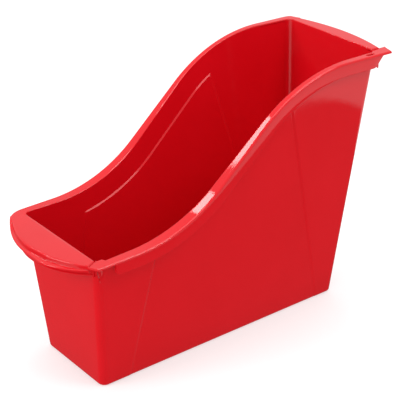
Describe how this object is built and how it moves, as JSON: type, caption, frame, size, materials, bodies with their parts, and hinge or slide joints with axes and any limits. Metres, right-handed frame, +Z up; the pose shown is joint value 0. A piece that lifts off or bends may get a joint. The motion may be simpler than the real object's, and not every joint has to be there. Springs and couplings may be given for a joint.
{
  "type": "desktop storage bin",
  "caption": "Narrow open-top moulded plastic bin for books, papers and art supplies, low at the front and tall at the rear, with an S-shaped rim, pull handles and an interlock slot.",
  "frame": {"origin": "centre of the bounding box on the surface the bin stands on", "axes": "+X from the low front handle to the tall rear handle, +Y to the left side of the bin as its user sees it from the front, +Z up"},
  "size_m": [0.3618, 0.14, 0.2584],
  "materials": {
    "red_plastic": "glossy injection-moulded polypropylene, plain red, lightly worn"
  },
  "bodies": {
    "root": {"floor_panel": "red_plastic", "front_wall": "red_plastic", "rear_wall": "red_plastic", "left_wall": "red_plastic", "right_wall": "red_plastic", "left_inset_panel": "red_plastic", "right_inset_panel": "red_plastic", "left_rim": "red_plastic", "right_rim": "red_plastic", "left_skirt": "red_plastic", "right_skirt": "red_plastic", "front_handle_plate": "red_plastic", "front_handle_skirt": "red_plastic", "rear_handle_plate": "red_plastic", "rear_handle_skirt": "red_plastic", "left_rim_peg": "red_plastic"}
  },
  "joints": []
}
